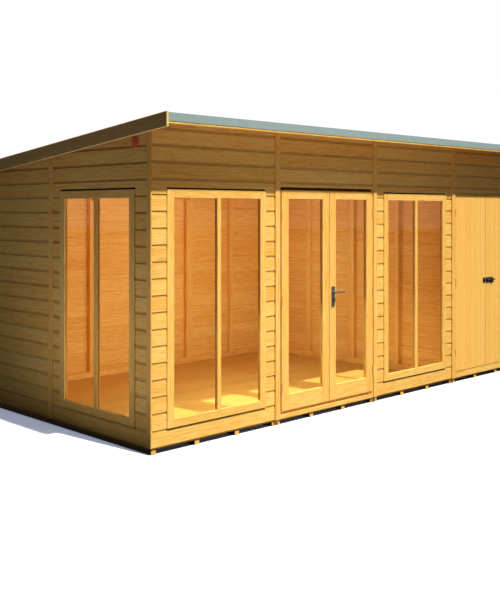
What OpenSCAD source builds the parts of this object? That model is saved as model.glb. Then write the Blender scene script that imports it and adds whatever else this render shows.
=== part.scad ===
// Pent-roofed timber summerhouse with a side store: framed wall panels on a boarded floor,
// glazed double doors and tall fixed windows in front, plank double doors to the store.
// Plan coordinates inside the modules: x along the front from the left corner, y from the
// outer face of the front boards to the back, z up from the ground. in_place() then moves
// the whole building so that the origin is under the middle of its box.

/* [Building] */
// Width of one wall panel along the front and back
bay_w = 1200; // [1180:10:1300]
// Depth of one wall panel along the sides
side_bay_d = 1200; // [1150:10:1300]
// Height of the roof boards' underside at the front face
front_top = 2206; // [2050:2:2400]
// Fall of the roof for each unit of depth
roof_fall = 0.1034; // [0.05:0.005:0.13]
// Gap left between two neighbouring wall panels
panel_gap = 1; // [0.5:0.5:3]

/* [Floor] */
// Width of a floor bearer
bearer_w = 44; // [35:1:60]
// Height of a floor bearer
bearer_h = 33; // [25:1:50]
// Bearers under each floor panel
bearers_per_bay = 4; // [3:1:6]
// Thickness of the floor boards
floor_t = 12; // [10:1:20]

/* [Framing] */
// Width of a stud, seen from inside
stud_w = 44; // [35:1:50]
// Depth of a stud, from the boards to the room
stud_d = 44; // [38:1:60]
// Height of the rail along the floor
bottom_rail_h = 55; // [40:1:70]
// Height of the rails over the openings and under the roof
top_rail_h = 44; // [35:1:60]

/* [Boards] */
// Thickness of the wall boards
board_t = 12; // [10:1:16]
// Height of the lowest edge of the wall boards over the ground
board_bottom = 44; // [35:1:44]
// Width of the strips over the panel joints
strip_w = 52; // [40:1:70]
// Thickness of the strips over the panel joints
strip_t = 11; // [10:1:20]
// Width of the strips at the corners
corner_strip_w = 46; // [35:1:60]

/* [Windows] */
// Width of a front window's frame, outside
window_w = 950; // [800:10:960]
// Width of the side window's frame, outside
side_window_w = 908; // [800:4:920]
// Height of the underside of a window frame
window_bottom = 158; // [145:1:500]
// Height of a window frame, outside
window_h = 1603; // [1200:1:1610]
// Width of a window frame's side members
window_stile_w = 60; // [45:1:80]
// Height of a window frame's top and bottom members
window_rail_h = 57; // [45:1:80]
// Width of the bar between a window's two panes
mullion_w = 36; // [30:1:50]
// Thickness of a window frame from front to back
window_t = 36; // [30:1:44]
// How far a window frame stands out from the boards
window_proud = 8; // [5:1:11]
// Open joint between the top of a window frame and the boards over it
window_joint = 12; // [2:1:15]

/* [Glass] */
// Thickness of the glass
glass_t = 4; // [3:1:6]
// Depth of the glass behind the face of its frame
glass_inset = 14; // [12:1:22]
// Width of the rebate that the glass sits in
rebate = 8; // [6:1:10]
// Play round a pane in its rebate
glass_play = 0.5; // [0.2:0.1:1]

/* [Doors] */
// Width of a door post
post_w = 38; // [30:1:44]
// Width of the post between the store's doors and the building's corner
corner_post_w = 78; // [60:1:90]
// Running gap round each door leaf
door_gap = 5; // [5:0.5:8]
// Height of the underside of the doors
door_bottom = 101; // [90:1:120]
// Height of the top of the doors
door_top = 1772; // [1600:4:1800]
// Width and thickness of the strip that a door closes against
stop_w = 15; // [10:1:20]
// Height of the lowest boards over the glazed doors above their top
header_lift = 23; // [6:1:30]
// Height of the lowest boards over the store's doors above their top
store_header_lift = 9; // [6:1:30]
// Height of the step under the glazed doors
main_sill_top = 78; // [70:1:90]
// Thickness of a glazed leaf
leaf_t = 36; // [34:1:42]
// How far a glazed leaf stands out from the boards
leaf_proud = 8; // [0:1:10]
// Width of a glazed leaf's side members
leaf_stile_w = 79; // [65:1:100]
// Height of a glazed leaf's top member
leaf_top_h = 66; // [50:1:100]
// Height of a glazed leaf's bottom member
leaf_bottom_h = 120; // [80:1:200]
// Thickness of the planks of a store door
plank_t = 14; // [12:1:18]
// Thickness of the ledges and braces behind the planks
ledge_t = 22; // [18:1:25]
// Height of a ledge
ledge_h = 95; // [70:1:120]
// Width of a brace
brace_w = 70; // [50:1:90]

/* [Hinges] */
// Length of a butt hinge
hinge_l = 75; // [60:1:100]
// Radius of a hinge's knuckle
knuckle_r = 5; // [4.5:0.1:5.5]
// Radius of a hinge's pin
hinge_pin_r = 2.5; // [2:0.1:3]
// Thickness of a hinge's flaps
flap_t = 1.5; // [1.2:0.1:1.8]
// Width of a hinge's flap on the edge of the wood
flap_w = 28; // [20:1:32]
// Distance from a door's ends to the middle of its outer hinges
hinge_inset = 180; // [120:5:250]

/* [Lever handle] */
// Height of the lever's spindle
lever_z = 964; // [900:1:1050]
// Width of the plate behind the lever
plate_w = 38; // [30:1:45]
// Height of the plate behind the lever
plate_h = 160; // [120:1:180]
// Thickness of the plate behind the lever
plate_t = 7; // [5:1:9]
// Distance from the spindle to the top of the plate
plate_over = 47; // [30:1:60]
// Radius of the spindle
spindle_r = 4.5; // [4:0.5:5]
// Radius of the lever's neck
neck_r = 9; // [7:0.5:12]
// Distance from the plate to the middle of the lever
neck_l = 26; // [20:1:35]
// Length of the lever from its spindle to its tip
lever_l = 112; // [100:1:140]
// Radius of the lever next to its neck
lever_r = 8; // [6:0.5:8.5]
// Radius of the lever at its tip
lever_tip_r = 6; // [4:0.5:8]
// Distance from the spindle down to the keyhole
keyhole_drop = 62; // [50:1:80]

/* [Pad bolt] */
// Height of the bolt
bolt_z = 937; // [800:1:1100]
// Length of the bolt's back plate
bolt_plate_l = 130; // [110:1:160]
// Length of the keep's back plate
keep_plate_l = 44; // [36:1:55]
// Height of both back plates
bolt_plate_h = 49; // [40:1:60]
// Thickness of both back plates
bolt_plate_t = 3; // [2:0.5:4]
// Radius of the sliding bar
bar_r = 6; // [5:0.5:7]
// Length of the sliding bar
bar_l = 150; // [140:1:180]
// Width of the guides that the bar runs in
guide_w = 14; // [10:1:18]
// Wall of the guides that the bar runs in
guide_wall = 4; // [3:0.5:5]
// Length of the tail that hangs from the bar
tail_l = 45; // [25:1:50]
// Radius of the tail that hangs from the bar
tail_r = 4; // [3:0.5:5]

/* [Roof] */
// Thickness of the roof boards
roof_board_t = 12; // [10:1:18]
// Thickness of the felt
felt_t = 3; // [2:0.5:5]
// Overhang of the roof in front of the boards
front_over = 240; // [120:5:260]
// Overhang of the roof behind the boards
rear_over = 100; // [40:5:120]
// Overhang of the roof at each side, barge board included
side_over = 75; // [40:5:100]
// Thickness of a barge board
barge_t = 20; // [15:1:22]
// Height of a barge board
barge_h = 99; // [75:1:120]
// Height of a barge board's top edge over the felt beside it
barge_proud = 6; // [0:1:15]
// Thickness of the fascia under the roof's front and rear edges
fascia_t = 18; // [15:1:25]
// Height of the fascia under the roof boards
fascia_h = 57; // [40:1:70]
// Wood left showing below the felt at the front and rear edges
felt_short = 14; // [4:1:20]
// Width of a roof beam
beam_w = 44; // [35:1:60]
// Height of a roof beam
beam_h = 95; // [80:1:120]
// Thickness of the block under each end of a beam
block_t = 30; // [20:1:44]
// Height of the block under each end of a beam
block_h = 160; // [100:5:200]

/* [Hidden] */

// Bays along the front: windows in the first and third, glazed doors in the second,
// store doors in the fourth. The partition stands between the third and fourth.
bays = 4;
window_bays = [0, 2];
main_bay = 1;
store_bay = 3;
side_bays = 2;

plan_w = bays * bay_w;
plan_d = side_bays * side_bay_d + 2 * board_t;
wall_t = board_t + stud_d;
floor_top = bearer_h + floor_t;
rail_top = floor_top + bottom_rail_h;
window_top = window_bottom + window_h;
head_bottom = door_top + door_gap;
stop_lap = stop_w - door_gap;
sill_stop_top = door_bottom + stop_lap;

// Door leaves
main_stop_y = leaf_t - leaf_proud + door_gap;
store_t = plank_t + ledge_t;
store_stop_y = store_t + door_gap;
hinge_zs = [door_bottom + hinge_inset, (door_bottom + door_top) / 2, door_top - hinge_inset];
knuckle_gap = 0.3;
pin_play = 0.05;
flap_clear = 0.5;

// Roof
roof_y0 = -front_over;
roof_y1 = plan_d + rear_over;
deck_x0 = -side_over + barge_t;
deck_x1 = plan_w + side_over - barge_t;
roof_build = roof_board_t + felt_t;
mid_x = plan_w / 2;
mid_y = (roof_y0 + roof_y1) / 2;
beam_bays = [1, 2];

// Fine clearances of the ironmongery
run_play = 0.08;
keep_play = 0.6;
round_fn = 48;

// Height of the roof boards' underside at depth y
function roof_z(y) = front_top - roof_fall * y;
// A point of the roof's section at depth y, drop below the boards' underside
function roof_point(y, drop) = [y, roof_z(y) - drop];
// Play between the roof boards and what they lie on
roof_seat = 0.05;

// Both sides of a bay's opening between its door posts
function doorway(bay) = [
    bay * bay_w + post_w,
    (bay + 1) * bay_w - (bay == bays - 1 ? corner_post_w : post_w),
];
// Height of the lowest boards over a bay's doorway
function header_bottom(bay) = door_top + (bay == store_bay ? store_header_lift : header_lift);
// Width of each of the two leaves in a bay's doorway
function leaf_w(bay) = (doorway(bay)[1] - doorway(bay)[0] - 3 * door_gap) / 2;
// Both sides of a left leaf and of a right leaf in a bay's doorway
function left_leaf(bay) = [doorway(bay)[0] + door_gap, doorway(bay)[0] + door_gap + leaf_w(bay)];
function right_leaf(bay) = [doorway(bay)[1] - door_gap - leaf_w(bay), doorway(bay)[1] - door_gap];

// Both ends of a panel along the front or back, inside the side walls' boards
function panel_x(bay) = [
    bay == 0 ? board_t : bay * bay_w + panel_gap / 2,
    bay == bays - 1 ? plan_w - board_t : (bay + 1) * bay_w - panel_gap / 2,
];
// Both ends of a panel's boards along the front or back, out to the corners
function boards_x(bay) = [
    bay == 0 ? 0 : bay * bay_w + panel_gap / 2,
    bay == bays - 1 ? plan_w : (bay + 1) * bay_w - panel_gap / 2,
];
// Both ends of a side panel's frame, between the front and back frames
function panel_y(bay) = [
    bay == 0 ? wall_t : board_t + bay * side_bay_d + panel_gap / 2,
    bay == side_bays - 1 ? plan_d - wall_t : board_t + (bay + 1) * side_bay_d - panel_gap / 2,
];

// The studs' ranges in a panel that spans the range r
function end_studs(r) = [[r[0], r[0] + stud_w], [r[1] - stud_w, r[1]]];
function mid_stud(centre) = [centre - stud_w / 2, centre + stud_w / 2];
function jack_studs(centre, w) = [
    [centre - w / 2 - stud_w, centre - w / 2],
    [centre + w / 2, centre + w / 2 + stud_w],
];
function bay_centre(bay) = (bay + 0.5) * bay_w;
// Middle of a side panel's frame
function side_bay_centre(bay) = (panel_y(bay)[0] + panel_y(bay)[1]) / 2;
side_window_y = side_bay_centre(0);

wood = [0.93, 0.70, 0.33];
frame_wood = [0.95, 0.74, 0.40];
inner_wood = [0.85, 0.60, 0.28];
dark_wood = [0.50, 0.38, 0.20];
felt_colour = [0.55, 0.66, 0.63];
glass_colour = [0.80, 0.90, 0.92, 0.35];
steel_colour = [0.55, 0.55, 0.55];
black_iron = [0.10, 0.10, 0.11];

// ---- building blocks ----

module in_place() {
    translate([-mid_x, -mid_y, 0]) children();
}

// A box between two ranges in plan and a range in height
module box(x, y, z) {
    translate([x[0], y[0], z[0]]) cube([x[1] - x[0], y[1] - y[0], z[1] - z[0]]);
}

// An outline in (y, z) carried along the range x
module along_x(x, outline) {
    translate([x[0], 0, 0]) rotate([90, 0, 90]) linear_extrude(x[1] - x[0]) polygon(outline);
}

// A post or board from z0 up to the roof boards, or to drop below them
module up_to_roof(x, y, z0, drop = 0) {
    low = drop + roof_seat;
    along_x(x, [[y[0], z0], [y[1], z0], [y[1], roof_z(y[1]) - low], [y[0], roof_z(y[0]) - low]]);
}

// A band of height h that follows the roof's slope, its top at drop below the boards' underside
module roof_band(x, y, drop, h) {
    along_x(x, [
        roof_point(y[0], drop + h), roof_point(y[1], drop + h),
        roof_point(y[1], drop), roof_point(y[0], drop),
    ]);
}

// Turns a piece drawn for a front wall, along x and facing -y, onto the left wall at depth 0
module on_left_wall() {
    mirror([1, -1, 0]) children();
}

// A frame with rebated lights, facing -y with its face at y = 0, from x = 0 and z = 0.
// lights are the ranges in x, and open_z is their range in z.
module glazed_frame(w, h, t, lights, open_z) {
    difference() {
        cube([w, t, h]);
        for (light = lights) {
            box(light, [-1, t + 1], open_z);
            box(
                [light[0] - rebate, light[1] + rebate],
                [glass_inset, t + 1],
                [open_z[0] - rebate, open_z[1] + rebate]
            );
        }
    }
}

// The pane of one light of a glazed frame
module pane(light, open_z) {
    edge = rebate - glass_play;
    box(
        [light[0] - edge, light[1] + edge],
        [glass_inset, glass_inset + glass_t],
        [open_z[0] - edge, open_z[1] + edge]
    );
}

// The two lights of a window of width w
function window_lights(w) = [
    [window_stile_w, (w - mullion_w) / 2],
    [(w + mullion_w) / 2, w - window_stile_w],
];
window_open_z = [window_rail_h, window_h - window_rail_h];

// Puts a window of width w into a wall that faces -y, its middle at centre
module at_window(centre, w) {
    translate([centre - w / 2, -window_proud, window_bottom]) children();
}

module window_frame(w) {
    glazed_frame(w, window_h, window_t, window_lights(w), window_open_z);
}

module window_panes(w) {
    for (light = window_lights(w)) pane(light, window_open_z);
}

// What a window of width w takes out of the boards, with the open joint over its frame
module window_cut(centre, w) {
    box(
        [centre - w / 2, centre + w / 2],
        [-1, board_t + 1],
        [window_bottom, window_top + window_joint]
    );
}

// ---- floor ----

// Each floor panel has its own bearers, the outer two along its edges
module floor_bearers() {
    color(dark_wood) in_place()
        for (bay = [0 : bays - 1], i = [0 : bearers_per_bay - 1]) {
            x = boards_x(bay);
            pitch = (x[1] - x[0] - bearer_w) / (bearers_per_bay - 1);
            translate([x[0] + i * pitch, board_t, 0])
                cube([bearer_w, plan_d - 2 * board_t, bearer_h]);
        }
}

module floor_boards() {
    color(inner_wood) in_place()
        box([board_t, plan_w - board_t], [board_t, plan_d - board_t], [bearer_h, floor_top]);
}

// ---- front wall frame ----

module front_stud(x) {
    up_to_roof(x, [board_t, wall_t], rail_top, top_rail_h);
}

module front_wall_studs() {
    color(inner_wood) in_place()
        for (bay = window_bays) {
            for (x = end_studs(panel_x(bay))) front_stud(x);
            for (x = jack_studs(bay_centre(bay), window_w)) front_stud(x);
        }
}

// The head over a doorway, with the lip that the doors close against
module door_head(bay, stop_y) {
    along_x(doorway(bay), [
        [board_t, head_bottom], [stop_y, head_bottom],
        [stop_y, head_bottom - stop_lap], [wall_t, head_bottom - stop_lap],
        [wall_t, head_bottom + top_rail_h], [board_t, head_bottom + top_rail_h],
    ]);
}

module front_wall_rails() {
    color(inner_wood) in_place() {
        for (bay = window_bays) {
            light_x = [bay_centre(bay) - window_w / 2, bay_centre(bay) + window_w / 2];
            box(panel_x(bay), [board_t, wall_t], [floor_top, rail_top]);
            box(light_x, [board_t, wall_t], [rail_top, window_bottom]);
            box(light_x, [board_t, wall_t], [window_top, window_top + top_rail_h]);
        }
        for (bay = [0 : bays - 1]) roof_band(panel_x(bay), [board_t, wall_t], roof_seat, top_rail_h);
        door_head(main_bay, main_stop_y);
        door_head(store_bay, store_stop_y);
    }
}

// ---- back wall frame ----

module back_wall_studs() {
    y = [plan_d - wall_t, plan_d - board_t];
    color(inner_wood) in_place()
        for (bay = [0 : bays - 1]) {
            for (x = end_studs(panel_x(bay))) up_to_roof(x, y, rail_top, top_rail_h);
            up_to_roof(mid_stud(bay_centre(bay)), y, rail_top, top_rail_h);
        }
}

module back_wall_rails() {
    y = [plan_d - wall_t, plan_d - board_t];
    color(inner_wood) in_place()
        for (bay = [0 : bays - 1]) {
            box(panel_x(bay), y, [floor_top, rail_top]);
            roof_band(panel_x(bay), y, roof_seat, top_rail_h);
        }
}

// ---- side wall frames ----

left_frame_x = [board_t, wall_t];
right_frame_x = [plan_w - wall_t, plan_w - board_t];

module side_stud(x, y) {
    up_to_roof(x, y, rail_top, top_rail_h);
}

module side_wall_studs() {
    color(inner_wood) in_place() {
        for (bay = [0 : side_bays - 1], y = end_studs(panel_y(bay))) {
            side_stud(left_frame_x, y);
            side_stud(right_frame_x, y);
        }
        for (y = jack_studs(side_window_y, side_window_w)) side_stud(left_frame_x, y);
        side_stud(left_frame_x, mid_stud(side_bay_centre(side_bays - 1)));
        for (bay = [0 : side_bays - 1]) side_stud(right_frame_x, mid_stud(side_bay_centre(bay)));
    }
}

module side_wall_rails() {
    light_y = [side_window_y - side_window_w / 2, side_window_y + side_window_w / 2];
    color(inner_wood) in_place() {
        for (bay = [0 : side_bays - 1], x = [left_frame_x, right_frame_x]) {
            box(x, panel_y(bay), [floor_top, rail_top]);
            roof_band(x, panel_y(bay), roof_seat, top_rail_h);
        }
        box(left_frame_x, light_y, [rail_top, window_bottom]);
        box(left_frame_x, light_y, [window_top, window_top + top_rail_h]);
    }
}

// ---- partition to the store ----

// Its boards face the store, and end just behind the stop of the store's left post
partition_face = doorway(store_bay)[0] + stop_lap - 2;
partition_board_x = [partition_face - board_t, partition_face];
partition_frame_x = [partition_face - wall_t, partition_face - board_t];

module partition_studs() {
    color(inner_wood) in_place()
        for (bay = [0 : side_bays - 1]) {
            for (y = end_studs(panel_y(bay))) side_stud(partition_frame_x, y);
            side_stud(partition_frame_x, mid_stud(side_bay_centre(bay)));
        }
}

module partition_rails() {
    color(inner_wood) in_place()
        for (bay = [0 : side_bays - 1]) {
            box(partition_frame_x, panel_y(bay), [floor_top, rail_top]);
            roof_band(partition_frame_x, panel_y(bay), roof_seat, top_rail_h);
        }
}

module partition_boards() {
    color(inner_wood) in_place()
        up_to_roof(partition_board_x, [wall_t, plan_d - wall_t], floor_top);
}

// ---- wall boards ----

module front_wall_boards() {
    color(wood) in_place()
        for (bay = window_bays)
            difference() {
                up_to_roof(boards_x(bay), [0, board_t], board_bottom);
                window_cut(bay_centre(bay), window_w);
            }
}

module door_header_boards() {
    color(wood) in_place()
        for (bay = [main_bay, store_bay])
            up_to_roof(boards_x(bay), [0, board_t], header_bottom(bay));
}

module side_boards(x) {
    up_to_roof(x, [board_t, plan_d - board_t], board_bottom);
}

module left_wall_boards() {
    color(wood) in_place()
        difference() {
            side_boards([0, board_t]);
            on_left_wall() window_cut(side_window_y, side_window_w);
        }
}

module right_wall_boards() {
    color(wood) in_place() side_boards([plan_w - board_t, plan_w]);
}

module back_wall_boards() {
    color(wood) in_place()
        for (bay = [0 : bays - 1])
            up_to_roof(boards_x(bay), [plan_d - board_t, plan_d], board_bottom);
}

module cover_strips() {
    joint_y = board_t + side_bay_d;
    color(frame_wood) in_place() {
        for (bay = [1 : bays - 1]) {
            x = [bay * bay_w - strip_w / 2, bay * bay_w + strip_w / 2];
            up_to_roof(x, [-strip_t, 0], board_bottom);
            up_to_roof(x, [plan_d, plan_d + strip_t], board_bottom);
        }
        for (x = [[-strip_t, 0], [plan_w, plan_w + strip_t]]) {
            up_to_roof(x, [0, corner_strip_w], board_bottom);
            up_to_roof(x, [joint_y - strip_w / 2, joint_y + strip_w / 2], board_bottom);
            up_to_roof(x, [plan_d - corner_strip_w, plan_d], board_bottom);
        }
    }
}

// ---- windows ----

module front_window_frames() {
    color(frame_wood) in_place()
        for (bay = window_bays) at_window(bay_centre(bay), window_w) window_frame(window_w);
}

module side_window_frame() {
    color(frame_wood) in_place() on_left_wall()
        at_window(side_window_y, side_window_w) window_frame(side_window_w);
}

module window_glass() {
    color(glass_colour) in_place() {
        for (bay = window_bays) at_window(bay_centre(bay), window_w) window_panes(window_w);
        on_left_wall() at_window(side_window_y, side_window_w) window_panes(side_window_w);
    }
}

// ---- doorways ----

// A post drawn to the left of a doorway whose edge is x = 0. Its front part ends at front_z under
// the header boards, and its stop strip fits between the sill's upstand and the head's lip.
module door_post(front_w, back_w, front_z, stop_y) {
    box([-front_w, 0], [0, board_t], [floor_top, front_z]);
    up_to_roof([-back_w, 0], [board_t, wall_t], floor_top, top_rail_h);
    box([0, stop_lap], [stop_y, wall_t], [sill_stop_top, head_bottom - stop_lap]);
}

// Puts a post on a doorway's left edge, or turned over on its right edge
module post_at(x, right) {
    translate([x, 0, 0]) mirror([right ? 1 : 0, 0, 0]) children();
}

module door_posts() {
    joint_w = post_w - panel_gap / 2;
    color(frame_wood) in_place() {
        for (right = [false, true])
            post_at(doorway(main_bay)[right ? 1 : 0], right)
                door_post(joint_w, joint_w, header_bottom(main_bay), main_stop_y);
        post_at(doorway(store_bay)[0], false)
            door_post(joint_w, joint_w, header_bottom(store_bay), store_stop_y);
        post_at(doorway(store_bay)[1], true)
            door_post(corner_post_w, corner_post_w - board_t, header_bottom(store_bay), store_stop_y);
    }
}

// The step between two posts: top is its height and stop_y the face of its upstand
module door_sill(bay, top, stop_y) {
    along_x(doorway(bay), [
        [0, board_bottom], [board_t, board_bottom], [board_t, floor_top], [wall_t, floor_top],
        [wall_t, sill_stop_top], [stop_y, sill_stop_top], [stop_y, top], [0, top],
    ]);
}

module door_sills() {
    color(frame_wood) in_place() {
        door_sill(main_bay, main_sill_top, main_stop_y);
        door_sill(store_bay, door_bottom - door_gap, store_stop_y);
    }
}

// ---- glazed doors ----

leaf_h = door_top - door_bottom;
leaf_lights = [[leaf_stile_w, leaf_w(main_bay) - leaf_stile_w]];
leaf_open_z = [leaf_bottom_h, leaf_h - leaf_top_h];
lever_x = right_leaf(main_bay)[0] + leaf_stile_w / 2;
spindle_hole_r = spindle_r + 3.5;

module at_main_leaf(x) {
    translate([x, -leaf_proud, door_bottom]) children();
}

module glazed_leaf() {
    glazed_frame(leaf_w(main_bay), leaf_h, leaf_t, leaf_lights, leaf_open_z);
}

module main_door_left() {
    color(frame_wood) in_place() at_main_leaf(left_leaf(main_bay)[0]) glazed_leaf();
}

module main_door_right() {
    color(frame_wood) in_place()
        difference() {
            at_main_leaf(right_leaf(main_bay)[0]) glazed_leaf();
            translate([lever_x, -leaf_proud - 1, lever_z])
                rotate([-90, 0, 0]) cylinder(r = spindle_hole_r, h = leaf_t + 2, $fn = round_fn);
        }
}

module main_door_left_glass() {
    color(glass_colour) in_place()
        at_main_leaf(left_leaf(main_bay)[0]) pane(leaf_lights[0], leaf_open_z);
}

module main_door_right_glass() {
    color(glass_colour) in_place()
        at_main_leaf(right_leaf(main_bay)[0]) pane(leaf_lights[0], leaf_open_z);
}

// ---- lever handle ----

lever_face = -leaf_proud - plate_t;
lever_back = leaf_t - leaf_proud + plate_t;

// A round bar along y through (x, z)
module bar_y(x, y, z, r) {
    translate([x, y[0], z])
        rotate([-90, 0, 0]) cylinder(r = r, h = y[1] - y[0], $fn = round_fn);
}

// A plate with rounded ends, a bore for the spindle and a keyhole
module handle_plate(y) {
    corner_r = plate_w / 4;
    z_top = lever_z + plate_over;
    z_bottom = z_top - plate_h;
    key_z = lever_z - keyhole_drop;
    key_r = 4;
    difference() {
        union() {
            box(
                [lever_x - plate_w / 2 + corner_r, lever_x + plate_w / 2 - corner_r],
                y, [z_bottom, z_top]
            );
            box(
                [lever_x - plate_w / 2, lever_x + plate_w / 2],
                y, [z_bottom + corner_r, z_top - corner_r]
            );
            for (side = [-1, 1], z = [z_bottom + corner_r, z_top - corner_r])
                bar_y(lever_x + side * (plate_w / 2 - corner_r), y, z, corner_r);
        }
        bar_y(lever_x, [y[0] - 1, y[1] + 1], lever_z, spindle_r + run_play);
        bar_y(lever_x, [y[0] - 1, y[1] + 1], key_z, key_r);
        box(
            [lever_x - key_r / 2, lever_x + key_r / 2],
            [y[0] - 1, y[1] + 1],
            [key_z - 3 * key_r, key_z]
        );
    }
}

module handle_plates() {
    color(steel_colour) in_place() {
        handle_plate([lever_face, -leaf_proud]);
        handle_plate([leaf_t - leaf_proud, lever_back]);
    }
}

// One lever: a neck off the plate and a tapered grip with a round tip
module lever(sign, plate_y) {
    seat = plate_y + sign * knuckle_gap;
    grip_y = plate_y + sign * neck_l;
    bar_y(lever_x, [min(seat, grip_y), max(seat, grip_y)], lever_z, neck_r);
    translate([lever_x, grip_y, lever_z]) {
        sphere(r = neck_r, $fn = round_fn);
        rotate([0, 90, 0])
            cylinder(r1 = lever_r, r2 = lever_tip_r, h = lever_l - lever_tip_r, $fn = round_fn);
        translate([lever_l - lever_tip_r, 0, 0]) sphere(r = lever_tip_r, $fn = round_fn);
    }
}

module lever_handle() {
    color(steel_colour) in_place()
        union() {
            lever(-1, lever_face);
            lever(1, lever_back);
            bar_y(lever_x, [lever_face - neck_l, lever_back + neck_l], lever_z, spindle_r);
        }
}

// ---- store doors ----

// Planks with three ledges and two braces behind, the braces rising from the left or the right
module plank_leaf(foot_left) {
    w = leaf_w(store_bay);
    ledge_in = 30;
    ledge_zs = [ledge_h, (leaf_h - ledge_h) / 2, leaf_h - 2 * ledge_h];
    ledge_y = [plank_t, store_t];
    cube([w, plank_t, leaf_h]);
    for (z = ledge_zs) box([ledge_in, w - ledge_in], ledge_y, [z, z + ledge_h]);
    for (i = [0, 1]) {
        low = ledge_zs[i] + ledge_h;
        high = ledge_zs[i + 1];
        x0 = foot_left ? ledge_in : w - ledge_in;
        x1 = foot_left ? w - ledge_in - brace_w : ledge_in + brace_w;
        dir = foot_left ? 1 : -1;
        translate([0, store_t, 0]) rotate([90, 0, 0]) linear_extrude(ledge_t)
            polygon([[x0, low], [x0 + dir * brace_w, low], [x1 + dir * brace_w, high], [x1, high]]);
    }
}

module storage_door_left() {
    color(wood) in_place()
        translate([left_leaf(store_bay)[0], 0, door_bottom]) plank_leaf(true);
}

module storage_door_right() {
    color(wood) in_place()
        translate([right_leaf(store_bay)[0], 0, door_bottom]) plank_leaf(false);
}

// ---- pad bolt ----

bolt_x0 = right_leaf(store_bay)[0] + 4;
keep_x1 = left_leaf(store_bay)[1] - 3;
bar_y0 = -bolt_plate_t - bar_r - guide_wall + 1;
bar_x0 = bolt_x0 + 2;
guide_inset = 6;
keep_guide_x = keep_x1 - keep_plate_l / 2 - guide_w / 2;

// A guide loop that stands on its plate round the bar
module bolt_guide(x, play) {
    r = bar_r + guide_wall;
    difference() {
        union() {
            translate([x, bar_y0, bolt_z])
                rotate([0, 90, 0]) cylinder(r = r, h = guide_w, $fn = round_fn);
            box([x, x + guide_w], [bar_y0, -bolt_plate_t], [bolt_z - r, bolt_z + r]);
        }
        translate([x - 1, bar_y0, bolt_z])
            rotate([0, 90, 0]) cylinder(r = bar_r + play, h = guide_w + 2, $fn = round_fn);
    }
}

module bolt_plate(x) {
    box(x, [-bolt_plate_t, 0], [bolt_z - bolt_plate_h / 2, bolt_z + bolt_plate_h / 2]);
}

module bolt_keep() {
    color(black_iron) in_place()
        union() {
            bolt_plate([keep_x1 - keep_plate_l, keep_x1]);
            bolt_guide(keep_guide_x, keep_play);
        }
}

module bolt_case() {
    color(black_iron) in_place()
        union() {
            bolt_plate([bolt_x0, bolt_x0 + bolt_plate_l]);
            bolt_guide(bolt_x0 + guide_inset, run_play);
            bolt_guide(bolt_x0 + bolt_plate_l - guide_inset - guide_w, run_play);
        }
}

module bolt_bar() {
    tail_x = bolt_x0 + bolt_plate_l - guide_inset - guide_w - 2 * guide_w;
    color(black_iron) in_place()
        union() {
            translate([bar_x0, bar_y0, bolt_z])
                rotate([0, 90, 0]) cylinder(r = bar_r, h = bar_l, $fn = round_fn);
            translate([tail_x, bar_y0, bolt_z - tail_l])
                cylinder(r = tail_r, h = tail_l, $fn = round_fn);
            translate([tail_x, bar_y0, bolt_z - tail_l]) sphere(r = tail_r, $fn = round_fn);
        }
}

// ---- hinges ----

// Hinges are drawn for a leaf hung on the left: the post's face is at x = 0, the leaf's edge
// at x = door_gap and the leaf's face at y = 0. The pin stands in front of the running gap.
pin_x = door_gap / 2;
third = hinge_l / 3;

module knuckle(z0, z1) {
    translate([pin_x, -knuckle_r, z0]) cylinder(r = knuckle_r, h = z1 - z0, $fn = round_fn);
}

module post_half() {
    union() {
        box([0, flap_t], [flap_clear, flap_w], [0, hinge_l]);
        for (z = [0, 2 * third + knuckle_gap]) {
            box([0, flap_t], [-knuckle_r, flap_w], [z, z + third - knuckle_gap]);
            knuckle(z, z + third - knuckle_gap);
        }
        translate([pin_x, -knuckle_r, 0]) cylinder(r = hinge_pin_r, h = hinge_l, $fn = round_fn);
    }
}

module leaf_half() {
    difference() {
        union() {
            box([door_gap - flap_t, door_gap], [flap_clear, flap_w], [0, hinge_l]);
            box([door_gap - flap_t, door_gap], [-knuckle_r, flap_w], [third, 2 * third]);
            knuckle(third, 2 * third);
        }
        translate([pin_x, -knuckle_r, -1])
            cylinder(r = hinge_pin_r + pin_play, h = hinge_l + 2, $fn = round_fn);
    }
}

// Puts three hinges on a doorway's edge x, with the leaf's face at y, turned over if on the right
module hung(x, y, right) {
    for (z = hinge_zs)
        translate([x, y, z - hinge_l / 2]) mirror([right ? 1 : 0, 0, 0]) children();
}

module post_hinges() {
    color(steel_colour) in_place()
        for (door = [[main_bay, -leaf_proud], [store_bay, 0]]) {
            hung(doorway(door[0])[0], door[1], false) post_half();
            hung(doorway(door[0])[1], door[1], true) post_half();
        }
}

module main_left_hinges() {
    color(steel_colour) in_place() hung(doorway(main_bay)[0], -leaf_proud, false) leaf_half();
}

module main_right_hinges() {
    color(steel_colour) in_place() hung(doorway(main_bay)[1], -leaf_proud, true) leaf_half();
}

module storage_left_hinges() {
    color(steel_colour) in_place() hung(doorway(store_bay)[0], 0, false) leaf_half();
}

module storage_right_hinges() {
    color(steel_colour) in_place() hung(doorway(store_bay)[1], 0, true) leaf_half();
}

// ---- roof ----

beam_y = [wall_t, plan_d - wall_t];

function beam_x(joint) = [joint * bay_w - beam_w / 2, joint * bay_w + beam_w / 2];

module beam_blocks() {
    color(dark_wood) in_place()
        for (joint = beam_bays, y = [[beam_y[0], beam_y[0] + block_t], [beam_y[1] - block_t, beam_y[1]]])
            roof_band(beam_x(joint), y, roof_seat + beam_h, block_h);
}

module roof_beams() {
    color(inner_wood) in_place()
        for (joint = beam_bays) roof_band(beam_x(joint), beam_y, roof_seat, beam_h);
}

module roof_boards() {
    color(inner_wood) in_place()
        roof_band([deck_x0, deck_x1], [roof_y0 + felt_t, roof_y1 - felt_t], -roof_board_t, roof_board_t);
}

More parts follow.
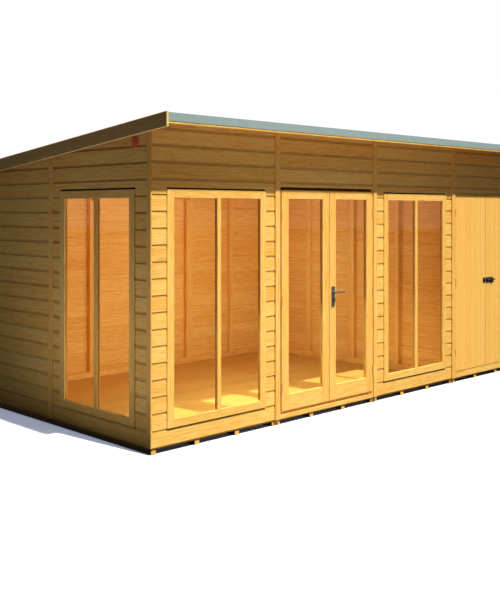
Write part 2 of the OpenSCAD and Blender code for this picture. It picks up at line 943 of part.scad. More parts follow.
// The felt lies on the boards and turns down over the fascias at the front and rear edges
module roof_felt() {
    turned = fascia_h - felt_short;
    inner = [roof_y0 + felt_t, roof_y1 - felt_t];
    color(felt_colour) in_place()
        along_x([deck_x0, deck_x1], [
            roof_point(roof_y0, turned), roof_point(inner[0], turned),
            roof_point(inner[0], -roof_board_t), roof_point(inner[1], -roof_board_t),
            roof_point(inner[1], turned), roof_point(roof_y1, turned),
            roof_point(roof_y1, -roof_build), roof_point(roof_y0, -roof_build),
        ]);
}

module roof_fascias() {
    x = [deck_x0, deck_x1];
    color(frame_wood) in_place() {
        roof_band(x, [roof_y0 + felt_t, roof_y0 + felt_t + fascia_t], roof_seat, fascia_h);
        roof_band(x, [roof_y1 - felt_t - fascia_t, roof_y1 - felt_t], roof_seat, fascia_h);
    }
}

module barge_boards() {
    color(dark_wood) in_place()
        for (x = [[-side_over, deck_x0], [deck_x1, plan_w + side_over]])
            roof_band(x, [roof_y0, roof_y1], -roof_build - barge_proud, barge_h);
}

floor_bearers();
floor_boards();
front_wall_studs();
front_wall_rails();
back_wall_studs();
back_wall_rails();
side_wall_studs();
side_wall_rails();
partition_studs();
partition_rails();
partition_boards();
front_wall_boards();
door_header_boards();
left_wall_boards();
right_wall_boards();
back_wall_boards();
cover_strips();
front_window_frames();
side_window_frame();
window_glass();
door_posts();
door_sills();
main_door_left();
main_door_right();
main_door_left_glass();
main_door_right_glass();
handle_plates();
lever_handle();
storage_door_left();
storage_door_right();
bolt_keep();
bolt_case();
bolt_bar();
post_hinges();
main_left_hinges();
main_right_hinges();
storage_left_hinges();
storage_right_hinges();
beam_blocks();
roof_beams();
roof_boards();
roof_felt();
roof_fascias();
barge_boards();
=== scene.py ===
"""Looks of a pent-roofed timber summerhouse with a side store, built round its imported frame.

Lengths are in metres. Timber is laid as single lengths: each one keeps its own lie, which is how
far a point is along, across and through the length, so that grain and growth rings follow it.
"""
import math

import bmesh
import bpy
import numpy as np
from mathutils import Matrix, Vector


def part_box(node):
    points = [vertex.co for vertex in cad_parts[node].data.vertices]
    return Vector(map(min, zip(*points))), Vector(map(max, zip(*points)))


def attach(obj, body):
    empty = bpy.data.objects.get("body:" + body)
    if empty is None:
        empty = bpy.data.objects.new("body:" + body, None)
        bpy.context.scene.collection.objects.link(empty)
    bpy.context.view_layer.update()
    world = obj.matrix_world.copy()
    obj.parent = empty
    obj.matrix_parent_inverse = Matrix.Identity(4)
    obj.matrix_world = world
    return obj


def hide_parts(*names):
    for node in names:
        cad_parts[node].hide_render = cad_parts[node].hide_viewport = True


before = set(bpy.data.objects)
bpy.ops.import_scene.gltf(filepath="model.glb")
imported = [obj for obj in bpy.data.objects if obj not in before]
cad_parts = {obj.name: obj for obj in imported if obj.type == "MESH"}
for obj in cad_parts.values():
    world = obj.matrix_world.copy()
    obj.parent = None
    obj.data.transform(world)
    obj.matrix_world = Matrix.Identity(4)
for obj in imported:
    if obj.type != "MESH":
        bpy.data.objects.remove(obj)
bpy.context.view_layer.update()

chance = np.random.default_rng(41)

# Boards
LIP_FIRST = 0.160
BOARD_PITCH = 0.112
BOARD_T = 0.012
HOLLOW_H = 0.022
HOLLOW_D = 0.0055
TONGUE = 0.0075
TONGUE_PLAY, TONGUE_ROOM = 0.0002, 0.001
LEAST_PART = 0.003
FLOOR_BOARD_W = 0.118
ROOF_BOARD_W = 0.1
BAYS = 4

# How far the long edges of each kind of length are eased
EASE = 0.0012
BEARER_EASE, STRIP_EASE, ROOF_EASE, BARGE_EASE = 0.002, 0.0018, 0.0015, 0.003
BEAD_EASE, SHADE_STRIP_EASE, PLANK_EASE, LEDGE_EASE = 0.001, 0.0008, 0.0028, 0.002

# Windows and glazed doors
STILE_W, RAIL_H, MULLION_W = 0.060, 0.057, 0.036
LEAF_STILE_W, LEAF_TOP_H, LEAF_BOTTOM_H = 0.079, 0.066, 0.120
GLASS_DEPTH, GLASS_T, REBATE = 0.014, 0.004, 0.008
BEAD_T, BEAD_GAP, GLASS_GAP = 0.008, 0.0004, 0.0003

# Open joints over and under the window frames, and the near-black strips at their backs, which
# stand in as painted shade
HEAD_JOINT, FOOT_JOINT = 0.012, 0.009
SHADE_STRIP_T, DOOR_SHADE_STRIP_OVER = 0.003, 0.006

# Store doors
PLANKS_PER_LEAF = 6
PLANK_T, LEDGE_H, LEDGE_IN, BRACE_W = 0.014, 0.095, 0.030, 0.070

# Roof
FELT_T = 0.003
ROOF_BOARD_T = 0.012
FELT_STRIP = 0.92
FELT_LAP = 0.08
FELT_HEM = 0.058
LAP_RUN, HEM_WANDER = 0.02, 0.0007

# Small ironmongery
KEY_DROP = 0.062
CYLINDER_R, CYLINDER_FOOT_R, CYLINDER_FOOT_DROP = 0.0085, 0.005, 0.019
PLATE_SCREW_IN, PLATE_SCREW_R = 0.010, 0.0036
BOLT_SCREW_IN, BOLT_SCREW_R, BOLT_PLATE_T = 0.007, 0.0034, 0.003
DISC_BACK, DISC_HEIGHT = 0.180, 2.079
DISC_RADII = np.array([0.039, 0.039, 0.0384, 0.037, 0.012])
DISC_DEPTHS = np.array([0.0, 0.0022, 0.0032, 0.0038, 0.0040])

# Studio
SUN, SUN_SPREAD, SUN_COLOUR = 5.5, 1.2, (1.0, 0.98, 0.94)
SUN_RUN = (-0.11, 1.0, -1.825)
FILL, FILL_COLOUR = 0.02, (0.50, 0.76, 1.0)
FLOOR_HALF, FLOOR_DROP = 60.0, 0.0005
FLOOR_BOUNCE = (0.035, 0.032, 0.032)
SHADOW_LIFT = (0.24, 0.28, 0.39)
CAMERA_PLACE, CAMERA_TURN = (-6.101, -5.753, 1.620), -43.634
LENS_LENGTH, LENS_SHIFT = 53.646, (0.036, -0.1497)

# Each softbox's size, watts and colour, its place and the point that it faces
SOFTBOXES = (
    ("side_reflector", (1.8, 0.6), 16.5, (0.86, 0.90, 1.25),
     (-3.45, -0.9, 0.02), (-3.45, -0.9, 1)),
    ("front_softbox", (2.6, 0.4), 26, (0.97, 0.93, 1.08),
     (-1.1, -3.6, 0.3), (-0.4, -1.1, 2.0)),
    ("room_softbox", (2.0, 0.45), 13, (1.0, 1.03, 1.10),
     (-0.45, -0.55, 1.1), (-1.1, 1.1, 1.05)),
    ("room_end_softbox", (0.5, 0.5), 4.0, (0.72, 1.0, 1.35),
     (0.1, 0.2, 1.0), (1.2, -0.2, 1.0)),
    ("room_floor_softbox", (2.2, 0.5), 15, (1.0, 1.14, 1.05),
     (-0.9, -0.75, 0.9), (-0.9, -0.74, 0)),
    ("rear_softbox", (3.0, 2.0), 130, (1.0, 0.98, 0.96),
     (5.6, 4.6, 2.3), (1.2, 0.9, 0.9)),
)

# ---- reading the frame ----


def corners(node):
    """The points of a CAD node's mesh as one array, and its triangles as rows of three indices."""
    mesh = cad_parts[node].data
    points = np.empty(len(mesh.vertices) * 3, np.float32)
    mesh.vertices.foreach_get("co", points)
    mesh.calc_loop_triangles()
    triangles = np.empty(len(mesh.loop_triangles) * 3, np.int32)
    mesh.loop_triangles.foreach_get("vertices", triangles)
    return points.reshape(-1, 3).astype(float), triangles.reshape(-1, 3)


def solids(node):
    """Boxes (low, high) of a CAD node's separate solids, from left to right, front to back and up.

    Corners at one place share a label, and every triangle gives its corners the least label
    among them, until nothing changes.
    """
    points, triangles = corners(node)
    _, place = np.unique(np.round(points, 5), axis=0, return_inverse=True)
    place = place.ravel()
    triangles = place[triangles]
    label = np.arange(place.max() + 1)
    while True:
        least = np.repeat(label[triangles].min(1), 3)
        joined = label.copy()
        np.minimum.at(joined, triangles.ravel(), least)
        if (joined == label).all():
            break
        label = joined
    found = []
    for one in np.unique(label):
        own = points[label[place] == one]
        found.append((own.min(0), own.max(0)))
    return sorted(found, key=lambda box: tuple(np.round(box[0], 3)))


def low_high(node):
    """A CAD node's box as two arrays."""
    low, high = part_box(node)
    return np.array(low), np.array(high)


def roof_fall():
    """How far the roof drops for each metre towards the back, from the underside of its boards."""
    points, _ = corners("roof_boards")
    front, rear = points[:, 1].min(), points[:, 1].max()
    front_z = points[points[:, 1] < front + 0.01, 2].min()
    rear_z = points[points[:, 1] > rear - 0.01, 2].min()
    return (front_z - rear_z) / (rear - front)


FALL = roof_fall()

# ---- lengths of timber ----


class Timber:
    """Collects closed lengths of timber, each with its lie and a tone, and makes them one mesh."""

    def __init__(self):
        self.points, self.lies, self.tones, self.grooves, self.faces = [], [], [], [], []
        self.count = 0

    def carry(self, rings, lies, groove=0.0):
        """Adds a tube of rings, shaped (rings, points, 3), closed by a face at each end.

        The four corners of each side face are a point, its neighbour in the ring, and the same
        two in the next ring. lies has the rings' shape, and gets a start, a distance from the
        tree's middle and a tone of its own. groove is 1 where shade is painted onto the
        wood, in the boards' hollows and on glazing beads.
        """
        many, round_n = rings.shape[:2]
        index = np.arange(many * round_n).reshape(many, round_n) + self.count
        after = np.roll(index, -1, axis=1)
        sides = np.stack([index[:-1], after[:-1], after[1:], index[1:]], -1).reshape(-1, 4)
        self.faces += sides.tolist()
        self.faces += [index[0, ::-1].tolist(), index[-1].tolist()]
        start = [chance.uniform(0, 40), chance.uniform(-0.05, 0.05), chance.uniform(0.02, 0.09)]
        self.points.append(rings.reshape(-1, 3))
        self.lies.append(lies.reshape(-1, 3) + start)
        self.tones.append(np.full(many * round_n, chance.uniform()))
        self.grooves.append(np.broadcast_to(groove, (many, round_n)).ravel())
        self.count += many * round_n

    def bar(self, low, high, axis, ease=EASE, top_slope=0.0, slope=0.0, groove=0.0):
        """Adds a straight bar between two corners along an axis, with its long edges eased.

        Its section is a rectangle with cut corners. The first and last of its four rings are
        drawn in by the ease. top_slope tilts the upper end of an upright bar with the roof, and
        slope tilts the whole bar: both lower a point by slope times its distance from low's y.
        groove is 1 where shade is painted all over the bar.
        """
        low, high = np.array(low, float), np.array(high, float)
        across, through = [(1, 2), (0, 2), (0, 1)][axis]
        ease = min(ease, (high - low).min() / 3)
        a0, a1, t0, t1 = low[across], high[across], low[through], high[through]
        section = np.array([
            (a0 + ease, t0), (a1 - ease, t0), (a1, t0 + ease), (a1, t1 - ease),
            (a1 - ease, t1), (a0 + ease, t1), (a0, t1 - ease), (a0, t0 + ease),
        ])
        middle = np.array([(a0 + a1) / 2, (t0 + t1) / 2])
        drawn = section + ease * np.sign(middle - section) * 0.7
        stations = [low[axis], low[axis] + ease, high[axis] - ease, high[axis]]
        rings = np.empty((4, 8, 3))
        rings[..., [across, through]] = np.array([drawn, section, section, drawn])
        rings[..., axis] = np.array(stations)[:, None]
        lies = rings[..., [axis, across, through]] - [low[axis], *middle]
        back = rings[..., 1] - low[1]
        tilt = np.full(4, slope) if slope else np.array([0, 0, top_slope, top_slope])
        rings[..., 2] -= back * tilt[:, None]
        self.carry(rings, lies, groove)

    def piece(self, name, body, slot, finish, *nodes, under=None):
        """Makes the mesh piece, cut off under the roof plane through `under` where one is given."""
        mesh = bpy.data.meshes.new(name)
        mesh.from_pydata(np.concatenate(self.points).tolist(), [], self.faces)
        lie = mesh.attributes.new("lie", "FLOAT_VECTOR", "POINT")
        lie.data.foreach_set("vector", np.concatenate(self.lies).astype(np.float32).ravel())
        for key, values in (("tone", self.tones), ("groove", self.grooves)):
            layer = mesh.attributes.new(key, "FLOAT", "POINT")
            layer.data.foreach_set("value", np.concatenate(values).astype(np.float32))
        work = bmesh.new()
        work.from_mesh(mesh)
        if under is not None:
            cut_under_roof(work, under)
        bmesh.ops.recalc_face_normals(work, faces=work.faces)
        work.to_mesh(mesh)
        work.free()
        return placed(mesh, name, body, slot, finish, *nodes)


def cut_under_roof(work, point):
    """Cuts a bmesh along the plane that falls to the back with the roof, and closes the cuts."""
    found = bmesh.ops.bisect_plane(
        work, geom=work.verts[:] + work.edges[:] + work.faces[:], dist=1e-6,
        plane_co=point, plane_no=(0, FALL, 1), clear_outer=True,
    )
    edges = [part for part in found["geom_cut"] if isinstance(part, bmesh.types.BMEdge)]
    bmesh.ops.edgeloop_fill(work, edges=[edge for edge in edges if edge.is_boundary])


def placed(mesh, name, body, slot, finish, *nodes):
    """Puts a mesh in the scene as a piece that rides on a body and stands for CAD nodes."""
    piece = bpy.data.objects.new(name, mesh)
    bpy.context.scene.collection.objects.link(piece)
    mesh.materials.append(finish)
    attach(piece, body)
    if nodes:
        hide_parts(*nodes)
    return piece


# ---- shiplap ----


def shiplap_section():
    """Section of one shiplap board as (height over its lip, depth behind its face).

    The face is straight. Under the next board's lip it is hollowed by a quarter ellipse, which
    stands upright at the lip and meets the face at a sharp edge. A tongue goes up behind that
    lip, and a rebate takes the tongue of the board below.
    """
    turn = np.linspace(math.pi / 2, 0, 8)
    hollow = np.stack([BOARD_PITCH - HOLLOW_H * np.sin(turn), HOLLOW_D * np.cos(turn)], -1)
    top, rebate, rebate_d = BOARD_PITCH + TONGUE, TONGUE + TONGUE_ROOM, HOLLOW_D + TONGUE_PLAY
    back = [
        (top, HOLLOW_D), (top, BOARD_T - EASE), (top - EASE, BOARD_T), (rebate + EASE, BOARD_T),
        (rebate, BOARD_T - EASE), (rebate, rebate_d), (0, rebate_d), (0, EASE),
    ]
    return np.concatenate([[(EASE, 0), (BOARD_PITCH - HOLLOW_H - EASE, 0)], hollow, back])


def kept_part(section, height, above):
    """The part of a section above or below a height, new corners at the edges' crossings."""
    if len(section) == 0:
        return section
    sign = 1 if above else -1
    over = sign * (section[:, 0] - height)
    kept = []
    for i, (here, there) in enumerate(zip(section, np.roll(section, -1, axis=0))):
        a, b = over[i], over[(i + 1) % len(over)]
        if a >= 0:
            kept.append(here)
        if a * b < 0:
            kept.append(here + (there - here) * a / (a - b))
    return np.array(kept)


def lay_shiplap(stack, along, low, high, face, inward, span, bottom, top, opening=None):
    """Lays shiplap boards over a stretch of wall.

    along is the axis the boards run in, face the place of the boards' outer face on the other
    flat axis and inward its direction into the wall. opening is (from, to, bottom, top): a board
    it meets is laid in three lengths, and the middle one loses what lies in the opening. Parts
    lower than LEAST_PART are left out.
    """
    section = shiplap_section()
    depth_axis = 1 - along
    first = math.floor((bottom - LIP_FIRST) / BOARD_PITCH + 1e-6)
    last = math.ceil((top - LIP_FIRST) / BOARD_PITCH)
    for row in range(first, last):
        lip = LIP_FIRST + row * BOARD_PITCH
        state = chance.bit_generator.state
        lengths = [(span[0], span[1], [section])]
        if opening and opening[2] < lip + BOARD_PITCH and opening[3] > lip:
            low_part = kept_part(section, opening[2] - lip, False)
            high_part = kept_part(section, opening[3] - lip, True)
            lengths = [
                (span[0], opening[0], [section]),
                (opening[0], opening[1], [low_part, high_part]),
                (opening[1], span[1], [section]),
            ]
        for start, stop, parts in lengths:
            for part in parts:
                part = kept_part(part, bottom - lip, True) if lip < bottom else part
                if len(part) < 3 or np.ptp(part[:, 0]) < LEAST_PART:
                    continue
                chance.bit_generator.state = state
                rings = np.empty((2, len(part), 3))
                rings[..., along] = np.array([start, stop])[:, None]
                rings[..., depth_axis] = face + inward * part[:, 1]
                rings[..., 2] = lip + part[:, 0]
                lies = np.stack([
                    rings[..., along],
                    np.broadcast_to(part[:, 0] - BOARD_PITCH / 2, (2, len(part))),
                    np.broadcast_to(part[:, 1], (2, len(part))),
                ], -1)
                # Points of the hollow under the next board's lip get painted shade
                hollow = (part[:, 0] > BOARD_PITCH - HOLLOW_H - EASE / 2) * 1.0
                hollow[part[:, 1] > HOLLOW_D + EASE] = 0
                stack.carry(rings, lies, hollow)


# ---- finishes ----


class Value:
    """A shader socket that holds a number. Arithmetic on it adds Math nodes."""

    def __init__(self, finish, socket):
        self.finish, self.socket = finish, socket

    def maths(self, operation, *terms):
        sockets = dict(enumerate(terms))
        return self.finish.add("ShaderNodeMath", {"operation": operation}, sockets)[0]

    def __add__(self, other):
        return self.maths("ADD", self, other)

    def __sub__(self, other):
        return self.maths("SUBTRACT", self, other)

    def __rsub__(self, other):
        return self.maths("SUBTRACT", other, self)

    def __mul__(self, other):
        return self.maths("MULTIPLY", self, other)

    def __truediv__(self, other):
        return self.maths("DIVIDE", self, other)

    def __pow__(self, other):
        return self.maths("POWER", self, other)

    __radd__ = __add__
    __rmul__ = __mul__

    def fraction(self):
        return self.maths("FRACT", self)

    def above(self, low, high):
        """0 up to low, 1 from high, and a smooth rise between them."""
        settings = {"interpolation_type": "SMOOTHSTEP"}
        sockets = {"Value": self, "From Min": low, "From Max": high}
        return self.finish.add("ShaderNodeMapRange", settings, sockets)["Result"]


class Outputs:
    """The outputs of one shader node, each given back as a Value."""

    def __init__(self, finish, node):
        self.finish, self.node = finish, node

    def __getitem__(self, key):
        return Value(self.finish, self.node.outputs[key])


class Finish:
    """A material, or the surround, in the making."""

    def __init__(self, name, holder=None):
        self.material = holder or bpy.data.materials.new(name)
        self.material.use_nodes = True
        self.tree = self.material.node_tree
        self.tree.nodes.clear()

    def add(self, kind, settings=None, sockets=None):
        """Adds a node: its settings are set first, then the values or links of its sockets."""
        node = self.tree.nodes.new(kind)
        for key, value in (settings or {}).items():
            if key == "stops":
                ramp = node.color_ramp
                while len(ramp.elements) < len(value):
                    ramp.elements.new(1)
                for element, (position, colour) in zip(ramp.elements, value):
                    element.position, element.color = position, (*colour, 1)
            else:
                setattr(node, key, value)
        for key, value in (sockets or {}).items():
            if isinstance(value, Value):
                self.tree.links.new(value.socket, node.inputs[key])
            else:
                socket = node.inputs[key]
                colour = socket.type == "RGBA" and len(value) == 3
                socket.default_value = (*value, 1) if colour else value
        return Outputs(self, node)

    def object_place(self):
        return self.add("ShaderNodeTexCoord")["Object"]

    def scaled(self, vector, factors):
        settings = {"operation": "MULTIPLY"}
        return self.add("ShaderNodeVectorMath", settings, {0: vector, 1: factors})[0]

    def shifted(self, vector, offset, share):
        settings = {"operation": "MULTIPLY_ADD"}
        sockets = {0: offset, 1: (share,) * 3, 2: vector}
        return self.add("ShaderNodeVectorMath", settings, sockets)[0]

    def noise(self, vector, scale=1.0, detail=2.0, roughness=0.5):
        sockets = {"Vector": vector, "Scale": scale, "Detail": detail, "Roughness": roughness}
        return self.add("ShaderNodeTexNoise", None, sockets)

    def mixed(self, factor, first, second):
        sockets = {0: factor, 6: first, 7: second}
        return self.add("ShaderNodeMix", {"data_type": "RGBA"}, sockets)[2]

    def bumped(self, height, distance, strength=1.0):
        sockets = {"Height": height, "Distance": distance, "Strength": strength}
        return self.add("ShaderNodeBump", None, sockets)["Normal"]

    def surface(self, **sockets):
        """Ends the material with a Principled surface; a socket's name has _ for a space."""
        named = {key.replace("_", " "): value for key, value in sockets.items()}
        shader = self.add("ShaderNodeBsdfPrincipled", None, named)["BSDF"]
        return self.shown(shader)

    def shown(self, shader):
        self.add("ShaderNodeOutputMaterial", None, {"Surface": shader})
        return self.material


def stained_timber(name, pale, deep, ruddy, run=None, tone_share=0.35):
    """Softwood under a honey stain.

    Rings lie round the tree's middle at a nearly even pitch, each getting darker outwards and
    then starting again pale. Slow noise bends them, long streaks and fine fibres run along the
    grain, and each length has a tone of its own. run is the axis of a CAD node's grain; laid
    lengths have their own lie instead.
    """
    wood = Finish(name)
    if run:
        part = wood.add("ShaderNodeSeparateXYZ", None, {"Vector": wood.object_place()})
        order = {"x": "XYZ", "y": "YXZ", "z": "ZXY"}[run]
        lie = wood.add("ShaderNodeCombineXYZ", None, {i: part[a] for i, a in enumerate(order)})[0]
        tone = wood.noise(lie, 2.0)["Fac"]
    else:
        lie = wood.add("ShaderNodeAttribute", {"attribute_name": "lie"})["Vector"]
        tone = wood.add("ShaderNodeAttribute", {"attribute_name": "tone"})["Fac"]
        groove = wood.add("ShaderNodeAttribute", {"attribute_name": "groove"})["Fac"]
    bend = wood.noise(wood.scaled(lie, (0.9, 7, 7)), detail=1.5)["Color"]
    bent = wood.add("ShaderNodeSeparateXYZ", None, {"Vector": wood.shifted(lie, bend, 0.03)})
    radius = (bent["Y"] * bent["Y"] + bent["Z"] * bent["Z"]) ** 0.5
    late = (radius / RING_PITCH).fraction() ** 2.5
    streak = wood.noise(wood.scaled(lie, (9, 130, 130)), detail=3, roughness=0.6)["Fac"]
    band = wood.noise(wood.scaled(lie, (1.3, 30, 30)), detail=2)["Fac"]
    fibre = wood.noise(wood.scaled(lie, (7, 600, 600)), detail=2)["Fac"]
    cloud = wood.noise(wood.scaled(lie, (1.6, 9, 9)), detail=2)["Fac"]
    depth = 1.8 * (streak - 0.5) + 0.5 * (band - 0.5) + 0.35 * (late - 0.3)
    depth = depth + 0.5 * (fibre - 0.5) + tone_share * (tone - 0.5) + 0.42
    colour = wood.mixed(depth.above(0, 1), pale, deep)
    colour = wood.mixed(cloud.above(0.45, 0.75) * 0.35, colour, ruddy)
    # Painted shade: the colour is drawn towards a near-black brown where groove is 1
    if not run:
        colour = wood.mixed(groove * 0.3, colour, SHADE_PAINT)
    return wood.surface(
        Base_Color=colour,
        Roughness=0.5 + 0.2 * fibre,
        Normal=wood.bumped(fibre * 0.5 + late * 0.5, 0.0005, 0.4),
        Specular_IOR_Level=0.12,
    )


# Each timber's colours: between the late rings, in them and the dark streaks, and in its clouds
STAINED = (0.97, 0.620, 0.155), (0.80, 0.37, 0.055), (0.88, 0.44, 0.070)
INNER = (0.94, 0.57, 0.140), (0.77, 0.37, 0.057), (0.85, 0.42, 0.070)
UNDERFOOT = (0.70, 0.385, 0.078), (0.58, 0.295, 0.050), (0.62, 0.31, 0.055)
# Painted shade: a darker copy of the stain for the barge boards' faces
BARGE_SHADE_TONES = (0.58, 0.355, 0.100), (0.41, 0.23, 0.053), (0.45, 0.26, 0.060)
# Treated timber's brown, darkened further as painted shade for the bearers' sides
TREATED_AND_SHADE_TONES = (0.10, 0.065, 0.03), (0.06, 0.035, 0.015), (0.08, 0.04, 0.02)
PLANED = (0.98, 0.575, 0.132), (0.91, 0.48, 0.090), (0.95, 0.50, 0.095)
# Painted highlight: a paler copy of the stain for the barge boards' cut ends and lower edges
EDGE_HIGHLIGHT_TONES = (0.97, 0.68, 0.25), (0.92, 0.60, 0.18), (0.94, 0.60, 0.18)
# Near-black brown painted as shade into the boards' hollows and onto glazing beads
SHADE_PAINT = (0.10, 0.045, 0.010)
RING_PITCH = 0.0062


def satin_steel():
    """Brushed steel: fine scratches along x, and faint smears in the gloss."""
    steel = Finish("satin_steel")
    place = steel.object_place()
    scratch = steel.noise(steel.scaled(place, (60, 2400, 2400)), detail=2)["Fac"]
    smear = steel.noise(place, 35, 3)["Fac"]
    return steel.surface(
        Base_Color=steel.mixed(scratch, (0.19, 0.19, 0.195), (0.31, 0.31, 0.315)),
        Metallic=1.0, Roughness=0.26 + 0.2 * smear,
        Normal=steel.bumped(scratch, 0.0001, 0.3),
    )


def brassed_steel():
    """Thin brass plating on steel, a little smeared."""
    brass = Finish("brassed_steel")
    smear = brass.noise(brass.object_place(), 60, 3)["Fac"]
    return brass.surface(
        Base_Color=brass.mixed(smear, (0.78, 0.48, 0.13), (0.90, 0.60, 0.20)),
        Metallic=0.8, Roughness=0.42 + 0.2 * smear, Normal=brass.bumped(smear, 0.0001, 0.3),
    )


def black_iron():
    """Black paint on iron: slightly uneven, a little duller in places."""
    iron = Finish("black_iron")
    place = iron.object_place()
    skin = iron.noise(place, 420, 3)["Fac"]
    patch = iron.noise(place, 30, 2)["Fac"]
    return iron.surface(
        Base_Color=iron.mixed(patch, (0.010, 0.010, 0.011), (0.024, 0.024, 0.026)),
        Roughness=0.35 + 0.3 * patch, Normal=iron.bumped(skin, 0.0004, 0.5),
        Specular_IOR_Level=0.3,
    )


def clear_glass():
    """Clear panes: light goes straight through, and a faint gloss grows towards grazing angles."""
    glass = Finish("clear_glass")
    veil = glass.noise(glass.object_place(), 3.0)["Fac"]
    front = 1 - glass.add("ShaderNodeNewGeometry")["Backfacing"]
    gloss = glass.add("ShaderNodeFresnel", None, {"IOR": 1.25})["Fac"] * front * (0.8 + 0.2 * veil)
    through = glass.add("ShaderNodeBsdfTransparent", None, {"Color": (0.97, 0.985, 0.98)})[0]
    shine = glass.add("ShaderNodeBsdfGlossy", None, {"Roughness": 0.02})[0]
    return glass.shown(glass.add("ShaderNodeMixShader", None, {0: gloss, 1: through, 2: shine})[0])


def mineral_felt():
    """Roofing felt faced with crushed slate: grains of a millimetre or so, and faint clouds."""
    felt = Finish("mineral_felt")
    place = felt.object_place()
    grain = felt.add("ShaderNodeTexVoronoi", None, {"Vector": place, "Scale": 700.0})
    cloud = felt.noise(place, 2.2, 3)["Fac"]
    colour = felt.mixed(
        felt.add("ShaderNodeSeparateXYZ", None, {"Vector": grain["Color"]})["X"],
        (0.235, 0.325, 0.30), (0.40, 0.50, 0.465),
    )
    return felt.surface(
        Base_Color=felt.mixed(cloud.above(0.4, 0.7) * 0.25, colour, (0.26, 0.33, 0.31)),
        Roughness=0.85 + 0.1 * cloud, Specular_IOR_Level=0.2,
        Normal=felt.bumped(1 - grain["Distance"], 0.0006, 0.7),
    )


def shade_foam():
    """Near-black foam with fine open pores, for strips that stand in as painted shade."""
    foam = Finish("shade_foam")
    pore = foam.noise(foam.object_place(), 900, 2)["Fac"]
    return foam.surface(
        Base_Color=foam.mixed(pore, (0.022, 0.013, 0.006), (0.045, 0.028, 0.014)),
        Roughness=0.85 + 0.1 * pore, Normal=foam.bumped(pore, 0.0005, 0.8), Specular_IOR_Level=0.1,
    )


def dull_red():
    """Matt red paint with a slightly worn, uneven skin."""
    paint = Finish("dull_red")
    wear = paint.noise(paint.object_place(), 90, 3)["Fac"]
    return paint.surface(
        Base_Color=paint.mixed(wear, (0.72, 0.095, 0.035), (0.86, 0.15, 0.060)),
        Roughness=0.55 + 0.15 * wear, Normal=paint.bumped(wear, 0.0004, 0.4),
    )


BOARD_WOOD = stained_timber("stained_boards", *STAINED)
FRAME_WOOD = stained_timber("stained_joinery", *STAINED, tone_share=0.2)
INNER_WOOD = stained_timber("inner_timber", *INNER)
FLOOR_WOOD = stained_timber("floor_timber", *UNDERFOOT)
BARGE_SHADE_WOOD = stained_timber("barge_painted_shade", *BARGE_SHADE_TONES)
TREATED_AND_SHADE_WOOD = stained_timber("treated_and_painted_shade", *TREATED_AND_SHADE_TONES)
PLANK_WOOD = stained_timber("stained_planks", *PLANED)
EDGE_HIGHLIGHT_WOOD = stained_timber("barge_painted_highlight", *EDGE_HIGHLIGHT_TONES, tone_share=0.1)
RUN_WOOD = {run: stained_timber("joinery_run_" + run, *STAINED, run) for run in "xz"}
INNER_RUN = {run: stained_timber("inner_run_" + run, *INNER, run) for run in "xy"}
STEEL, BRASS, IRON = satin_steel(), brassed_steel(), black_iron()
GLASS, FELT = clear_glass(), mineral_felt()


def paint_all_but(piece, finish, kept):
    """Gives a second finish to all faces but those that look roughly along a kept direction."""
    piece.data.materials.append(finish)
    facing = np.empty(len(piece.data.polygons) * 3, np.float32)
    piece.data.polygons.foreach_get("normal", facing)
    likeness = (facing.reshape(-1, 3) @ np.array(kept, float).T).max(1)
    piece.data.polygons.foreach_set("material_index", (likeness < 0.6).astype(np.int32))


# ---- floor ----


def floor():
    """The bearers, and boards laid from left to right over each panel of the floor."""
    bearers = Timber()
    for low, high in solids("floor_bearers"):
        bearers.bar(low, high, 1, BEARER_EASE)
    piece = bearers.piece("bearers", "building", "dark_timber", BOARD_WOOD, "floor_bearers")
    # The bearers' sides get a near-black brown, partly treated timber's own colour and partly
    # painted shade; their ends keep the pale stain
    paint_all_but(piece, TREATED_AND_SHADE_WOOD, [(0, -1, 0), (0, 1, 0)])
    low, high = low_high("floor_boards")
    joints = np.linspace(low[0], high[0], BAYS + 1)
    rows = np.linspace(low[1], high[1], round((high[1] - low[1]) / FLOOR_BOARD_W) + 1)
    boards = Timber()
    for x0, x1 in zip(joints, joints[1:]):
        for y0, y1 in zip(rows, rows[1:]):
            boards.bar((x0, y0, low[2]), (x1, y1, high[2]), 0)
    boards.piece("floor_lengths", "building", "inner_timber", FLOOR_WOOD, "floor_boards")


# ---- walls ----


def studs():
    """Every stud as an eased length with its head cut to the roof's fall."""
    for node in ("front_wall_studs", "back_wall_studs", "side_wall_studs", "partition_studs"):
        lengths = Timber()
        for low, high in solids(node):
            lengths.bar(low, high, 2, top_slope=FALL)
        lengths.piece(node + "_eased", "building", "inner_timber", INNER_WOOD, node)


def window_opening(frame_box, along):
    """Where a window frame's box opens the boards, with open joints over its head and under it."""
    low, high = frame_box
    return low[along], high[along], low[2] - FOOT_JOINT, high[2] + HEAD_JOINT


